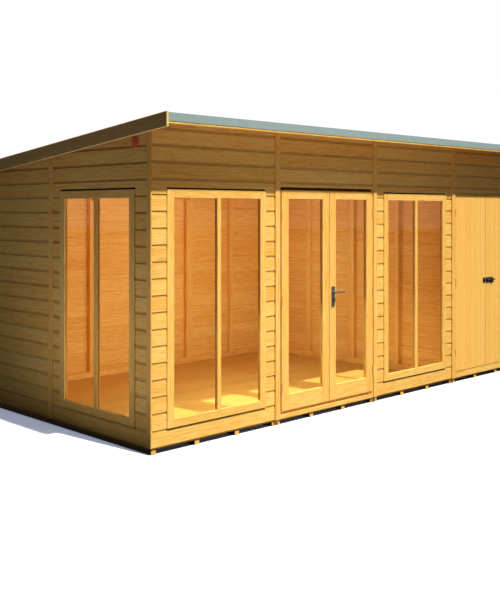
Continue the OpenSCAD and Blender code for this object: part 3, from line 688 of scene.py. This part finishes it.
def wall_boards():
    """Shiplap on all four walls, round the windows and over the doorways."""
    windows = solids("front_window_frames")
    front = Timber()
    for (low, high), window in zip(solids("front_wall_boards"), windows):
        opening = window_opening(window, 0)
        lay_shiplap(front, 0, low, high, low[1], 1, (low[0], high[0]), low[2], high[2], opening)
    low, high = low_high("front_wall_boards")
    front.piece("front_shiplap", "building", "boards", BOARD_WOOD, "front_wall_boards",
                under=(0, low[1], high[2]))

    headers = Timber()
    for low, high in solids("door_header_boards"):
        lay_shiplap(headers, 0, low, high, low[1], 1, (low[0], high[0]), low[2], high[2])
    low, high = low_high("door_header_boards")
    headers.piece("header_shiplap", "building", "boards", BOARD_WOOD, "door_header_boards",
                  under=(0, low[1], high[2]))

    side_y = np.array([(box[0][1] + box[1][1]) / 2 for box in solids("cover_strips")])
    left_low, left_high = low_high("left_wall_boards")
    middle = side_y[np.argmin(abs(side_y - (left_low[1] + left_high[1]) / 2))]
    opening = window_opening(solids("side_window_frame")[0], 1)
    left = Timber()
    for span, hole in (((left_low[1], middle), opening), ((middle, left_high[1]), None)):
        lay_shiplap(left, 1, left_low, left_high, left_low[0], 1, span, left_low[2],
                    left_high[2], hole)
    left.piece("left_shiplap", "building", "boards", BOARD_WOOD, "left_wall_boards",
               under=(0, left_low[1], left_high[2]))

    low, high = low_high("right_wall_boards")
    right = Timber()
    for span in ((low[1], middle), (middle, high[1])):
        lay_shiplap(right, 1, low, high, high[0], -1, span, low[2], high[2])
    right.piece("right_shiplap", "building", "boards", BOARD_WOOD, "right_wall_boards",
                under=(0, low[1], high[2]))

    back = Timber()
    for low, high in solids("back_wall_boards"):
        lay_shiplap(back, 0, low, high, high[1], -1, (low[0], high[0]), low[2], high[2])
    low, high = low_high("back_wall_boards")
    back.piece("back_shiplap", "building", "boards", BOARD_WOOD, "back_wall_boards",
               under=(0, low[1], high[2]))

    low, high = low_high("partition_boards")
    partition = Timber()
    lay_shiplap(partition, 1, low, high, high[0], -1, (low[1], high[1]), low[2], high[2])
    partition.piece("partition_shiplap", "building", "inner_timber", INNER_WOOD,
                    "partition_boards", under=(0, low[1], high[2]))


def cover_strips():
    """Eased strips over the panels' joints and at the corners."""
    strips = Timber()
    for low, high in solids("cover_strips"):
        strips.bar(low, high, 2, STRIP_EASE, top_slope=FALL)
    strips.piece("eased_strips", "building", "joinery", FRAME_WOOD, "cover_strips")


# ---- windows and glazed doors ----


def frame_member(stack, low, high, axis, depth_axis, rebates):
    """One member of a glazed frame: its front part, and its back part set back by the rebates.

    low and high are the member's corners. rebates are the distances by which the back part starts
    later and stops sooner across the member, and goes on past its ends.
    """
    across = ({0, 1, 2} - {axis, depth_axis}).pop()
    glass = low[depth_axis] + GLASS_DEPTH
    front_low, front_high, back_low, back_high = low.copy(), high.copy(), low.copy(), high.copy()
    front_high[depth_axis] = back_low[depth_axis] = glass
    back_low[across] += rebates[0]
    back_high[across] -= rebates[1]
    back_low[axis] -= rebates[2]
    back_high[axis] += rebates[2]
    stack.bar(front_low, front_high, axis)
    stack.bar(back_low, back_high, axis)


def glazed_frame(stack, low, high, flat, stile, top_h, bottom_h, bar=0.0):
    """Stiles, rails and a middle bar between the corners low and high, with beads round the panes.

    flat is the axis along the wall. Stiles run the whole height; rails fit between the stiles,
    and the bar between the rails. Beads stand behind the glass in the rebates.
    """
    depth_axis = 1 - flat
    left, right = low[flat] + stile, high[flat] - stile
    bottom, top = low[2] + bottom_h, high[2] - top_h

    def member(x0, x1, z0, z1, axis, rebates):
        a, b = low.copy(), high.copy()
        a[flat], b[flat], a[2], b[2] = x0, x1, z0, z1
        frame_member(stack, a, b, axis, depth_axis, rebates)

    member(low[flat], left, low[2], high[2], 2, (0, REBATE, 0))
    member(right, high[flat], low[2], high[2], 2, (REBATE, 0, 0))
    member(left, right, top, high[2], flat, (REBATE, 0, REBATE))
    member(left, right, low[2], bottom, flat, (0, REBATE, REBATE))
    lights = [(left, right)]
    if bar:
        centre = (left + right) / 2
        lights = [(left, centre - bar / 2), (centre + bar / 2, right)]
        member(lights[0][1], lights[1][0], bottom, top, 2, (REBATE, REBATE, REBATE))
    bead0 = low[depth_axis] + GLASS_DEPTH + GLASS_T + GLASS_GAP
    bead1 = bead0 + BEAD_T
    reach = REBATE - BEAD_GAP
    for x0, x1 in lights:
        ranges = [
            (x0 - reach, x1 + reach, bottom - reach, bottom, flat),
            (x0 - reach, x1 + reach, top, top + reach, flat),
            (x0 - reach, x0, bottom, top, 2),
            (x1, x1 + reach, bottom, top, 2),
        ]
        for a0, a1, z0, z1, axis in ranges:
            a, b = low.copy(), high.copy()
            a[flat], b[flat], a[2], b[2] = a0, a1, z0, z1
            a[depth_axis], b[depth_axis] = bead0, bead1
            # Beads get painted shade, darkening the reveals round the panes
            stack.bar(a, b, axis, BEAD_EASE, groove=1.0)


def windows():
    """The fixed windows, each in five members with glazing beads."""
    front = Timber()
    for low, high in solids("front_window_frames"):
        glazed_frame(front, low, high, 0, STILE_W, RAIL_H, RAIL_H, MULLION_W)
    front.piece("front_windows", "building", "joinery", FRAME_WOOD, "front_window_frames")
    side = Timber()
    low, high = low_high("side_window_frame")
    glazed_frame(side, low, high, 1, STILE_W, RAIL_H, RAIL_H, MULLION_W)
    side.piece("side_window", "building", "joinery", FRAME_WOOD, "side_window_frame")


def joint_shade_strips():
    """Near-black strips at the backs of the joints round the windows and over the glazed doors:
    painted shade.
    """
    shade_strips = Timber()

    def strip(low, high, inner, axis, bottom, top):
        a, b = low.copy(), high.copy()
        a[1 - axis], b[1 - axis], a[2], b[2] = inner - SHADE_STRIP_T, inner, bottom, top
        shade_strips.bar(a, b, axis, SHADE_STRIP_EASE)

    front_inner = low_high("front_wall_boards")[0][1] + BOARD_T
    left_inner = low_high("left_wall_boards")[0][0] + BOARD_T
    for node, inner, axis in (
        ("front_window_frames", front_inner, 0), ("side_window_frame", left_inner, 1),
    ):
        for low, high in solids(node):
            strip(low, high, inner, axis, high[2], high[2] + HEAD_JOINT)
            strip(low, high, inner, axis, low[2] - FOOT_JOINT, low[2])
    low, high = low_high("main_door_left")[0], low_high("main_door_right")[1]
    header = solids("door_header_boards")[0][0][2]
    strip(low, high, front_inner, 0, high[2] + DOOR_SHADE_STRIP_OVER, header)
    shade_strips.piece("joint_shade_strips", "building", "black_iron", shade_foam())


def glazed_doors():
    """The two glazed leaves."""
    for side in ("left", "right"):
        leaf = Timber()
        low, high = low_high("main_door_" + side)
        glazed_frame(leaf, low, high, 0, LEAF_STILE_W, LEAF_TOP_H, LEAF_BOTTOM_H)
        leaf.piece(f"glazed_leaf_{side}", f"main_{side}_leaf", "joinery", FRAME_WOOD,
                   "main_door_" + side)


def store_doors():
    """Two plank leaves: V-jointed planks in front, three ledges and two braces behind.

    A brace is an upright bar whose points move sideways in step with their height.
    """
    for side, rise in (("left", 1), ("right", -1)):
        leaf = Timber()
        low, high = low_high("storage_door_" + side)
        back = low[1] + PLANK_T
        edges = np.linspace(low[0], high[0], PLANKS_PER_LEAF + 1)
        for x0, x1 in zip(edges, edges[1:]):
            leaf.bar((x0, low[1], low[2]), (x1, back, high[2]), 2, PLANK_EASE)
        height = high[2] - low[2]
        ledges = [low[2] + z for z in (LEDGE_H, (height - LEDGE_H) / 2, height - 2 * LEDGE_H)]
        x0, x1 = low[0] + LEDGE_IN, high[0] - LEDGE_IN
        for z in ledges:
            leaf.bar((x0, back, z), (x1, high[1], z + LEDGE_H), 0, LEDGE_EASE)
        for z0, z1 in zip(ledges, ledges[1:]):
            foot = x0 if rise > 0 else x1 - BRACE_W
            corner = (foot + BRACE_W, high[1], z1)
            leaf.bar((foot, back, z0 + LEDGE_H), corner, 2, LEDGE_EASE)
            climb = leaf.points[-1]
            share = (climb[:, 2] - z0 - LEDGE_H) / (z1 - z0 - LEDGE_H)
            climb[:, 0] += rise * share * (x1 - x0 - BRACE_W)
        leaf.piece(f"plank_leaf_{side}", f"storage_{side}_leaf", "boards", PLANK_WOOD,
                   "storage_door_" + side)


# ---- roof ----


def roof_timber():
    """Beams, blocks, boards and fascias, all following the roof's fall."""
    joints = [(low[0] + high[0]) / 2 for low, high in solids("roof_beams")]
    for node, axis, slot, finish in (
        ("roof_beams", 1, "inner_timber", INNER_WOOD),
        ("beam_blocks", 1, "dark_timber", INNER_WOOD),
        ("roof_fascias", 0, "joinery", FRAME_WOOD),
    ):
        lengths = Timber()
        for low, high in solids(node):
            foot = low + [0, 0, FALL * (high[1] - low[1])]
            lengths.bar(foot, high, axis, ROOF_EASE, slope=FALL)
        lengths.piece(node + "_eased", "building", slot, finish, node)
    low, high = low_high("roof_boards")
    ends = [low[0], *joints, high[0]]
    rows = np.linspace(low[1], high[1], round((high[1] - low[1]) / ROOF_BOARD_W) + 1)
    boards = Timber()
    for y0, y1 in zip(rows, rows[1:]):
        top = high[2] - FALL * (y0 - low[1])
        for x0, x1 in zip(ends, ends[1:]):
            boards.bar((x0, y0, top - ROOF_BOARD_T), (x1, y1, top), 0, slope=FALL)
    boards.piece("roof_lengths", "building", "inner_timber", INNER_WOOD, "roof_boards")


def barge_boards():
    """The two barge boards: painted shade on their faces, a painted highlight on their cut ends and
    lower edges.
    """
    barges = Timber()
    for low, high in solids("barge_boards"):
        foot = low + [0, 0, FALL * (high[1] - low[1])]
        barges.bar(foot, high, 1, BARGE_EASE, slope=FALL)
    piece = barges.piece("barge_lengths", "building", "boards", EDGE_HIGHLIGHT_WOOD, "barge_boards")
    # All faces but the ends and undersides take the painted shade; those keep the painted highlight
    paint_all_but(piece, BARGE_SHADE_WOOD, [(0, -1, 0), (0, 1, 0), (0, 0, -1)])


def felt_sheet():
    """The felt, lapped in strips and turned down at the front and rear edges.

    Its section is carried from left to right. On top, each strip rises by half the felt's
    thickness over its lap and drops by a step at the lap's end. The turned edges' hems wander up
    by a millimetre or two, as a sum of sines along the roof.
    """
    low, high = low_high("roof_felt")
    sheet = FELT_T / 2
    run = np.linspace(low[1], high[1], 109)
    since = (run - low[1]) % FELT_STRIP
    lapped = np.clip((since - (FELT_STRIP - FELT_LAP)) / LAP_RUN, 0, 1)
    lift = sheet * (1 + lapped * lapped * (3 - 2 * lapped))
    level = high[2] - FELT_T - FALL * (run - low[1])
    top = np.stack([run, level + lift], -1)
    inner = [low[1] + FELT_T, high[1] - FELT_T]
    inner_z = [high[2] - FELT_T - FALL * (y - low[1]) for y in inner]
    hem_z = [high[2] - FELT_HEM, high[2] - FALL * (high[1] - low[1]) - FELT_HEM]
    section = np.concatenate([
        [(low[1], hem_z[0])], top, [(high[1], hem_z[1]), (inner[1], hem_z[1])],
        [(inner[1], inner_z[1]), (inner[0], inner_z[0]), (inner[0], hem_z[0])],
    ])
    x = np.linspace(low[0], high[0], 121)
    wander = HEM_WANDER * (2 + np.sin(x * 9.1) + np.sin(x * 23.7 + 1))
    rings = np.empty((len(x), len(section), 3))
    rings[..., 0] = x[:, None]
    rings[..., 1:] = section
    rings[:, [0, -1], 2] += wander[:, None]
    rings[:, [len(top) + 1, len(top) + 2], 2] += wander[::-1, None]
    felt = Timber()
    felt.carry(rings, rings.copy())
    felt.piece("lapped_felt", "building", "roof_felt", FELT, "roof_felt")


# ---- small ironmongery ----


def screw_heads(name, body, slot, finish, places, outward, radius):
    """Domed screw heads with a cross recess, facing along +y or -y.

    A head's height over its seat is a shallow dome, less a recess that is deepest at the middle
    and widest on four arms: a function of the distance from the middle and of the angle.
    """
    angle = np.linspace(0, 2 * math.pi, 24, endpoint=False)
    share = np.array([1.0, 1.0, 0.85, 0.62, 0.42, 0.2, 0.06])
    grid_share, grid_angle = np.meshgrid(share, angle, indexing="ij")
    arm = 0.22 + 0.36 * np.cos(2 * grid_angle) ** 8
    recess = np.clip(1 - grid_share / arm, 0, 0.4)
    height = 0.42 * np.sqrt(np.clip(1.02 - grid_share**2, 0, 1)) + 0.12 - 0.9 * recess
    height[0] = -0.02
    points, faces, count = [], [], 0
    index = np.arange(height.size).reshape(height.shape)
    after = np.roll(index, -1, axis=1)
    quads = np.stack([index[:-1], after[:-1], after[1:], index[1:]], -1).reshape(-1, 4)
    for place in places:
        turn = chance.uniform(0, math.pi)
        head = np.stack([
            place[0] + radius * grid_share * np.cos(grid_angle + turn),
            place[1] + outward * radius * height,
            place[2] + radius * grid_share * np.sin(grid_angle + turn),
        ], -1)
        points.append(head.reshape(-1, 3))
        faces += (quads + count).tolist()
        faces += [(index[0, ::-1] + count).tolist(), (index[-1] + count).tolist()]
        count += height.size
    mesh = bpy.data.meshes.new(name)
    mesh.from_pydata(np.concatenate(points).tolist(), [], faces)
    work = bmesh.new()
    work.from_mesh(mesh)
    bmesh.ops.recalc_face_normals(work, faces=work.faces)
    work.to_mesh(mesh)
    work.free()
    mesh.shade_smooth()
    return placed(mesh, name, body, slot, finish)


def screws():
    """Screws in the handle's plates and in the plates of the bolt and its keep."""
    low, high = low_high("handle_plates")
    middle = (low[0] + high[0]) / 2
    heights = low[2] + PLATE_SCREW_IN, high[2] - PLATE_SCREW_IN
    for name, y, outward in (("handle_screws", low[1], -1), ("handle_screws_inside", high[1], 1)):
        spots = [(middle, y, z) for z in heights]
        screw_heads(name, "main_right_leaf", "satin_steel", STEEL, spots, outward, PLATE_SCREW_R)
    for node, body in (("bolt_case", "storage_right_leaf"), ("bolt_keep", "storage_left_leaf")):
        low, high = low_high(node)
        spots = [
            (x, high[1] - BOLT_PLATE_T, z)
            for x in (low[0] + BOLT_SCREW_IN, high[0] - BOLT_SCREW_IN)
            for z in (low[2] + BOLT_SCREW_IN, high[2] - BOLT_SCREW_IN)
        ]
        screw_heads(node + "_screws", body, "black_iron", IRON, spots, -1, BOLT_SCREW_R)


def key_cylinder():
    """The lock's cylinder end: a disc with a narrower round-ended foot, standing off the plate.

    Its outline runs round most of a large circle and then round the lower half of a small one.
    It is carried outwards with its last ring drawn in.
    """
    plates, lever = low_high("handle_plates"), low_high("lever_handle")
    middle = (plates[0][0] + plates[1][0]) / 2
    height = (lever[0][2] + lever[1][2]) / 2 - KEY_DROP
    round_turn = np.radians(np.linspace(-52, 232, 24))
    foot_turn = np.radians(np.linspace(180, 360, 12))
    head = CYLINDER_R * np.stack([np.cos(round_turn), np.sin(round_turn)], -1)
    foot = CYLINDER_FOOT_R * np.stack([np.cos(foot_turn), np.sin(foot_turn)], -1)
    outline = np.concatenate([head, foot - [0, CYLINDER_FOOT_DROP]])
    depth, share = np.array([-0.0005, 0.0014, 0.0018]), np.array([1.0, 1.0, 0.93])
    rings = np.empty((3, len(outline), 3))
    rings[..., 0] = middle + share[:, None] * outline[:, 0]
    rings[..., 1] = plates[0][1] - depth[:, None]
    rings[..., 2] = height + share[:, None] * outline[:, 1]
    cylinder = Timber()
    cylinder.carry(rings, rings.copy())
    cylinder.piece("key_cylinder", "main_right_leaf", "black_iron", IRON)


def badge():
    """A plain disc on the left wall near the front corner: a flat face with a rounded rim."""
    low, high = low_high("left_wall_boards")
    wall_y = low_high("front_wall_boards")[0][1]
    centre = np.array([low[0], wall_y + DISC_BACK, DISC_HEIGHT])
    angle = np.linspace(0, 2 * math.pi, 48, endpoint=False)
    rings = np.empty((len(DISC_RADII), len(angle), 3))
    rings[..., 0] = centre[0] - DISC_DEPTHS[:, None]
    rings[..., 1] = centre[1] + DISC_RADII[:, None] * np.cos(angle)
    rings[..., 2] = centre[2] + DISC_RADII[:, None] * np.sin(angle)
    disc = Timber()
    disc.carry(rings, rings.copy())
    disc.piece("plain_disc", "building", "black_iron", dull_red())


# ---- CAD nodes that stay ----


def finish_node(finish, *nodes):
    """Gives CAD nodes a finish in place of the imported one."""
    for node in nodes:
        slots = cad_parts[node].data.materials
        if not slots:
            slots.append(finish)
        for i in range(len(slots)):
            slots[i] = finish


def finish_frame():
    finish_node(INNER_RUN["x"], "front_wall_rails", "back_wall_rails")
    finish_node(INNER_RUN["y"], "side_wall_rails", "partition_rails")
    finish_node(RUN_WOOD["z"], "door_posts")
    finish_node(RUN_WOOD["x"], "door_sills")
    finish_node(GLASS, "window_glass", "main_door_left_glass", "main_door_right_glass")
    finish_node(STEEL, "handle_plates", "lever_handle")
    finish_node(BRASS, "post_hinges", "main_left_hinges", "main_right_hinges",
                "storage_left_hinges", "storage_right_hinges")
    finish_node(IRON, "bolt_keep", "bolt_case", "bolt_bar")


# ---- studio ----


def seen_rays(finish):
    """1 for the camera's own rays and those mirrored or let through on the way, else 0."""
    ray = finish.add("ShaderNodeLightPath")
    straight = ray["Is Camera Ray"].maths("MAXIMUM", ray["Is Camera Ray"], ray["Is Glossy Ray"])
    return straight.maths("MAXIMUM", straight, ray["Is Transmission Ray"])


def aimed(name, lamp, place, target):
    """Hangs a lamp at a place, its -z axis towards the target and its x axis level."""
    holder = bpy.data.objects.new(name, lamp)
    away = np.subtract(target, place)
    flat = math.hypot(away[0], away[1])
    holder.location = place
    holder.rotation_euler = (
        math.atan2(flat, -away[2]), 0, math.atan2(away[1], away[0]) - math.pi / 2,
    )
    bpy.context.scene.collection.objects.link(holder)
    return holder


def studio_floor():
    """A wide pale floor. To the camera, shadows beyond the building are lifted to a pale grey."""
    ground = Finish("studio_floor")
    seen = ground.add("ShaderNodeLightPath")["Is Camera Ray"]
    cast = ground.noise(ground.object_place(), 0.8)["Fac"]
    tint = ground.mixed(cast, (0.90, 0.90, 0.90), (0.93, 0.93, 0.93))
    matt = ground.add("ShaderNodeBsdfDiffuse", None, {
        "Color": ground.mixed(seen, FLOOR_BOUNCE, tint),
    })[0]
    low, high = low_high("floor_bearers")
    place = ground.add("ShaderNodeSeparateXYZ", None, {"Vector": ground.object_place()})
    beyond = [
        place[axis].maths("ABSOLUTE", place[axis]).above(half - 0.03, half + 0.02)
        for axis, half in (("X", high[0]), ("Y", high[1]))
    ]
    outside = beyond[0].maths("MAXIMUM", *beyond) * seen
    lift = ground.add("ShaderNodeEmission", None, {
        "Color": ground.mixed(outside, (0, 0, 0), SHADOW_LIFT), "Strength": 1.0,
    })[0]
    ground.shown(ground.add("ShaderNodeAddShader", None, {0: matt, 1: lift})[0])
    mesh = bpy.data.meshes.new("studio_floor")
    corner = FLOOR_HALF * np.array([(-1, -1), (1, -1), (1, 1), (-1, 1)])
    mesh.from_pydata([(x, y, -FLOOR_DROP) for x, y in corner], [], [(0, 1, 2, 3)])
    mesh.materials.append(ground.material)
    plane = bpy.data.objects.new("studio_floor", mesh)
    bpy.context.scene.collection.objects.link(plane)


def surround():
    """White to the camera and in reflections, and a weak cool fill on the object."""
    world = bpy.data.worlds.new("surround")
    bpy.context.scene.world = world
    air = Finish("surround", world)
    fill = air.add("ShaderNodeBackground", None, {"Color": FILL_COLOUR, "Strength": FILL})[0]
    white = air.add("ShaderNodeBackground", None, {"Color": (1, 1, 1), "Strength": 1.0})[0]
    mix = air.add("ShaderNodeMixShader", None, {0: seen_rays(air), 1: fill, 2: white})[0]
    air.add("ShaderNodeOutputWorld", None, {"Surface": mix})


def lamps():
    """A soft sun from high in front, a reflector lying beside the left wall, and softboxes: low
    in front of the near end, three in the room, and one behind the far corner.
    """
    sun = bpy.data.lights.new("sun", "SUN")
    sun.energy, sun.angle, sun.color = SUN, math.radians(SUN_SPREAD), SUN_COLOUR
    above = np.array([0, 0, 6])
    aimed("sun", sun, above, above + SUN_RUN)
    for name, size, energy, colour, place, target in SOFTBOXES:
        box = bpy.data.lights.new(name, "AREA")
        box.shape, box.size, box.size_y = "RECTANGLE", *size
        box.energy, box.color = energy, colour
        held = aimed(name, box, place, target)
        held.visible_camera = held.visible_glossy = held.visible_transmission = False


def camera():
    """A level camera whose picture is shifted down, so that uprights stay upright."""
    lens = bpy.data.cameras.new("camera")
    lens.lens, lens.sensor_width = LENS_LENGTH, 36.0
    lens.shift_x, lens.shift_y = LENS_SHIFT
    lens.clip_end = 500
    holder = bpy.data.objects.new("camera", lens)
    holder.location = CAMERA_PLACE
    holder.rotation_euler = (math.radians(90), 0, math.radians(CAMERA_TURN))
    bpy.context.scene.collection.objects.link(holder)
    bpy.context.scene.camera = holder
    bpy.context.scene.view_settings.view_transform = "Standard"


floor()
studs()
wall_boards()
cover_strips()
windows()
joint_shade_strips()
glazed_doors()
store_doors()
roof_timber()
barge_boards()
felt_sheet()
screws()
key_cylinder()
badge()
finish_frame()
studio_floor()
surround()
lamps()
camera()
